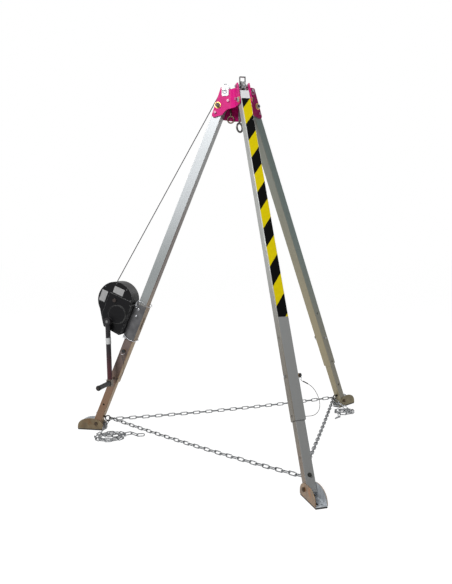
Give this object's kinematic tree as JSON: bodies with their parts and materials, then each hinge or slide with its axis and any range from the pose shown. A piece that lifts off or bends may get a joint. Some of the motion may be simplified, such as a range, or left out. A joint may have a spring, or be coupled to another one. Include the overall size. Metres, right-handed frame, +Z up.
{
  "type": "rescue tripod with hand winch",
  "caption": "Rescue tripod with telescopic square-tube legs folding under a plate head, hand winch on a leg, wire rope over a head sheave, tilting feet and chains between them.",
  "frame": {"origin": "on the ground, straight under the middle of the head", "axes": "+Z up, the front leg along -Y, the winch leg at 150 degrees from +X"},
  "size_m": [2.0406, 1.7673, 2.2045],
  "materials": {
    "head_coat": "satin powder coat",
    "zinc": "zinc plated",
    "brass_washer": "satin",
    "guide_plate": "satin",
    "sheave": "turned",
    "outer_tube": "drawn, satin",
    "inner_tube": "drawn, satin",
    "rope": "stranded",
    "pin": "black knob, bright shank",
    "foot": "yellow passivated",
    "pad": "moulded",
    "chain": "zinc plated",
    "winch_coat": "satin black",
    "bracket": "yellow passivated",
    "plate": "blank",
    "drum_steel": "machined",
    "crank_sleeve": "moulded",
    "collar": "moulded",
    "grip": "moulded"
  },
  "bodies": {
    "head": {"head_frame": "head_coat", "pivot_bolts": "zinc", "stop_bolts": "zinc", "head_nuts": "zinc", "pivot_washers": "brass_washer", "sheave_axles": "zinc", "ear_pin": "zinc", "rope_keepers": "zinc", "axle_spacers": "zinc", "guide_plates": "guide_plate", "lifting_eye": "zinc", "wire_rope": "rope", "rope_eye": "zinc", "right_chain": "chain", "rear_chain": "chain", "left_chain": "chain", "spare_chain_left": "chain", "spare_chain_right": "chain"},
    "front_sheave": {"front_sheave": "sheave"},
    "left_sheave": {"left_sheave": "sheave"},
    "front_leg": {"front_outer_tube": "outer_tube", "front_lanyard": "rope"},
    "front_extension": {"front_inner_tube": "inner_tube", "front_chain_eye": "zinc", "front_foot_bolt": "zinc"},
    "front_foot": {"front_foot": "foot", "front_foot_pad": "pad"},
    "front_pin": {"front_lock_pin": "pin"},
    "right_leg": {"right_outer_tube": "outer_tube", "right_lanyard": "rope"},
    "right_extension": {"right_inner_tube": "inner_tube", "right_chain_eye": "zinc", "right_foot_bolt": "zinc"},
    "right_foot": {"right_foot": "foot", "right_foot_pad": "pad"},
    "right_pin": {"right_lock_pin": "pin"},
    "left_leg": {"left_outer_tube": "outer_tube", "left_lanyard": "rope", "winch_rear_case": "winch_coat", "winch_front_case": "winch_coat", "winch_foot": "winch_coat", "winch_bracket": "bracket", "bracket_pins": "zinc", "case_screws": "zinc", "rating_plates": "plate", "drum_axle": "zinc"},
    "left_extension": {"left_inner_tube": "inner_tube", "left_chain_eye": "zinc", "left_foot_bolt": "zinc"},
    "left_foot": {"left_foot": "foot", "left_foot_pad": "pad"},
    "left_pin": {"left_lock_pin": "pin"},
    "drum": {"drum": "drum_steel", "rope_winding": "rope", "drum_gear": "drum_steel"},
    "crank": {"crank_pinion": "drum_steel", "crank_arm": "crank_sleeve", "crank_collar": "collar", "grip_pin": "zinc"},
    "grip": {"crank_grip": "grip"}
  },
  "joints": [
    {"name": "front_sheave_spin", "type": "hinge", "parent": "head", "child": "front_sheave", "pos_m": [0, -0.08, 2.1495], "axis": [1, 0, 0], "continuous": true},
    {"name": "left_sheave_spin", "type": "hinge", "parent": "head", "child": "left_sheave", "pos_m": [-0.06928, 0.04, 2.1495], "axis": [-0.5, -0.866, 0], "continuous": true},
    {"name": "front_leg_fold", "type": "hinge", "parent": "head", "child": "front_leg", "pos_m": [0, -0.124, 2.05951], "axis": [1, 0, 0], "range_deg": [0, 24.5], "deforming": ["right_chain", "left_chain"]},
    {"name": "front_leg_slide", "type": "slide", "parent": "front_leg", "child": "front_extension", "axis": [0, -0.4147, -0.91], "range_m": [0, 0.6], "deforming": ["right_chain", "left_chain"]},
    {"name": "front_foot_tilt", "type": "hinge", "parent": "front_extension", "child": "front_foot", "pos_m": [0, -1.02558, 0.045], "axis": [1, 0, 0], "range_deg": [-40, 40]},
    {"name": "front_pin_pull", "type": "slide", "parent": "front_leg", "child": "front_pin", "axis": [1, 0, 0], "range_m": [0, 0.075], "deforming": ["front_lanyard"]},
    {"name": "right_leg_fold", "type": "hinge", "parent": "head", "child": "right_leg", "pos_m": [0.10739, 0.062, 2.05951], "axis": [-0.5, 0.866, 0], "range_deg": [0, 24.5], "deforming": ["right_chain", "rear_chain", "spare_chain_right"]},
    {"name": "right_leg_slide", "type": "slide", "parent": "right_leg", "child": "right_extension", "axis": [0.3591, 0.2073, -0.91], "range_m": [0, 0.6], "deforming": ["right_chain", "rear_chain", "spare_chain_right"]},
    {"name": "right_foot_tilt", "type": "hinge", "parent": "right_extension", "child": "right_foot", "pos_m": [0.88818, 0.51279, 0.045], "axis": [-0.5, 0.866, 0], "range_deg": [-40, 40]},
    {"name": "right_pin_pull", "type": "slide", "parent": "right_leg", "child": "right_pin", "axis": [-0.5, 0.866, 0], "range_m": [0, 0.075], "deforming": ["right_lanyard"]},
    {"name": "left_leg_fold", "type": "hinge", "parent": "head", "child": "left_leg", "pos_m": [-0.10739, 0.062, 2.05951], "axis": [-0.5, -0.866, 0], "range_deg": [0, 24.5], "deforming": ["left_chain", "rear_chain", "spare_chain_left", "wire_rope"]},
    {"name": "left_leg_slide", "type": "slide", "parent": "left_leg", "child": "left_extension", "axis": [-0.3591, 0.2073, -0.91], "range_m": [0, 0.6], "deforming": ["left_chain", "rear_chain", "spare_chain_left"]},
    {"name": "left_foot_tilt", "type": "hinge", "parent": "left_extension", "child": "left_foot", "pos_m": [-0.88818, 0.51279, 0.045], "axis": [-0.5, -0.866, 0], "range_deg": [-40, 40]},
    {"name": "left_pin_pull", "type": "slide", "parent": "left_leg", "child": "left_pin", "axis": [-0.5, -0.866, 0], "range_m": [0, 0.075], "deforming": ["left_lanyard"]},
    {"name": "drum_spin", "type": "hinge", "parent": "left_leg", "child": "drum", "pos_m": [-0.72492, 0.41853, 0.87342], "axis": [-0.5, -0.866, 0], "continuous": true},
    {"name": "crank_spin", "type": "hinge", "parent": "left_leg", "child": "crank", "pos_m": [-0.76138, 0.43958, 0.73989], "axis": [-0.5, -0.866, 0], "continuous": true},
    {"name": "grip_spin", "type": "hinge", "parent": "crank", "child": "grip", "pos_m": [-0.81038, 0.35471, 0.3399], "axis": [-0.5, -0.866, 0], "continuous": true}
  ],
  "couplings": [
    {"joint": "crank_spin", "follows": "drum_spin", "ratio": -3}
  ]
}
